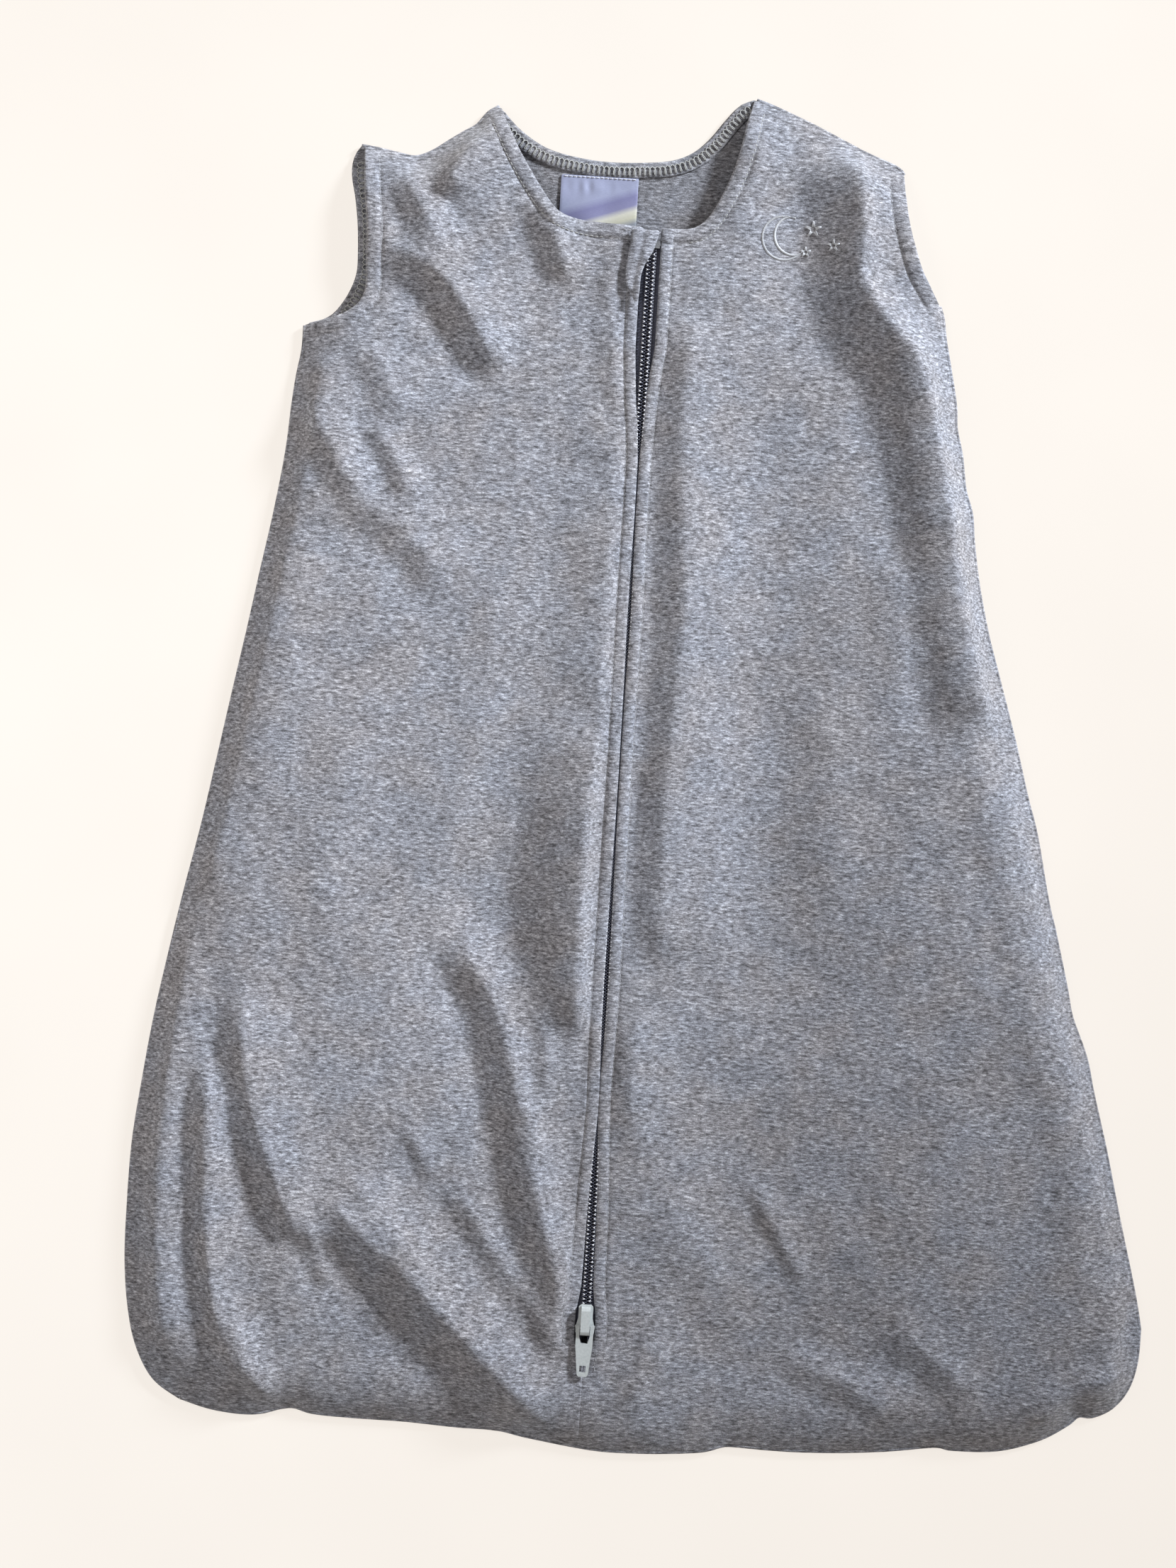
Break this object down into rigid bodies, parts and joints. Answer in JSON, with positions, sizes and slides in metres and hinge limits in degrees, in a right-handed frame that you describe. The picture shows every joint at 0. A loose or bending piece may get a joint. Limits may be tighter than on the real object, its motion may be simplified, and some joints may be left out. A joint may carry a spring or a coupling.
{
  "type": "baby sleeping bag",
  "caption": "Sleeveless wearable baby sleeping bag in heather grey knit, flared to a rounded hem, with a full-length front zip that closes downwards.",
  "frame": {"origin": "on the surface that the bag lies on, under the middle of the zip chain, 327 mm from the lowest point of the hem", "axes": "+Y along the zip from the hem to the neck, +Z out of the front, +X to the viewer's right looking down at the front"},
  "size_m": [0.496, 0.661, 0.0167],
  "materials": {
    "grey_jersey": "matt heather knit",
    "zip_tape": "woven polyester tape",
    "zip_coil": "nylon coil",
    "white_thread": "spun thread",
    "grey_thread": "spun thread",
    "label_satin": "satin",
    "painted_slider": "satin grey enamel",
    "bare_metal": "pressed metal"
  },
  "bodies": {
    "root": {"back_panel": "grey_jersey", "front_panel_left": "grey_jersey", "front_panel_right": "grey_jersey", "center_seam": "grey_jersey", "side_seam_left": "grey_jersey", "side_seam_right": "grey_jersey", "hem_seam": "grey_jersey", "shoulder_seam_left": "grey_jersey", "shoulder_seam_right": "grey_jersey", "neck_hem_back": "grey_jersey", "neck_hem_front_left": "grey_jersey", "neck_hem_front_right": "grey_jersey", "armhole_hem_back_left": "grey_jersey", "armhole_hem_back_right": "grey_jersey", "armhole_hem_front_left": "grey_jersey", "armhole_hem_front_right": "grey_jersey", "neck_stitch_back": "white_thread", "coil_stitch_left": "white_thread", "coil_stitch_right": "white_thread", "label_stitch": "white_thread", "chest_embroidery": "white_thread", "neck_stitch_front_left": "grey_thread", "neck_stitch_front_right": "grey_thread", "armhole_stitch_left": "grey_thread", "armhole_stitch_right": "grey_thread", "zip_topstitch_left": "grey_thread", "zip_topstitch_right": "grey_thread", "guard_stitch": "grey_thread", "zip_tape_left": "zip_tape", "zip_tape_right": "zip_tape", "zip_coil_left": "zip_coil", "zip_coil_right": "zip_coil", "zip_neck_stop": "bare_metal", "zip_hem_stops": "bare_metal", "care_label": "label_satin"},
    "slider": {"slider_body": "painted_slider", "slider_crown": "painted_slider"},
    "pawl": {"lock_pawl": "bare_metal"},
    "pull": {"pull_tab": "painted_slider"},
    "guard": {"zip_guard": "grey_jersey"},
    "label": {"neck_label": "label_satin"}
  },
  "joints": [
    {"name": "slider_travel", "type": "slide", "parent": "root", "child": "slider", "axis": [0, 1, 0], "range_m": [0, 0.483], "deforming": ["zip_coil_left", "zip_coil_right"]},
    {"name": "pull_flip", "type": "hinge", "parent": "slider", "child": "pull", "pos_m": [0, -0.2655, 0.0141], "axis": [-1, 0, 0], "range_deg": [0, 145]},
    {"name": "pawl_lift", "type": "slide", "parent": "slider", "child": "pawl", "axis": [0, 0, 1], "range_m": [0, 0.0008]},
    {"name": "guard_fold", "type": "hinge", "parent": "root", "child": "guard", "pos_m": [-0.0112, 0.25, 0.0131], "axis": [0, -1, 0], "range_deg": [0, 160]},
    {"name": "label_lift", "type": "hinge", "parent": "root", "child": "label", "pos_m": [-0.027, 0.2928, 0.0022], "axis": [-1, 0, 0], "range_deg": [0, 10]}
  ],
  "couplings": [
    {"joint": "pawl_lift", "follows": "pull_flip", "m_per_rad": 0.0003}
  ]
}
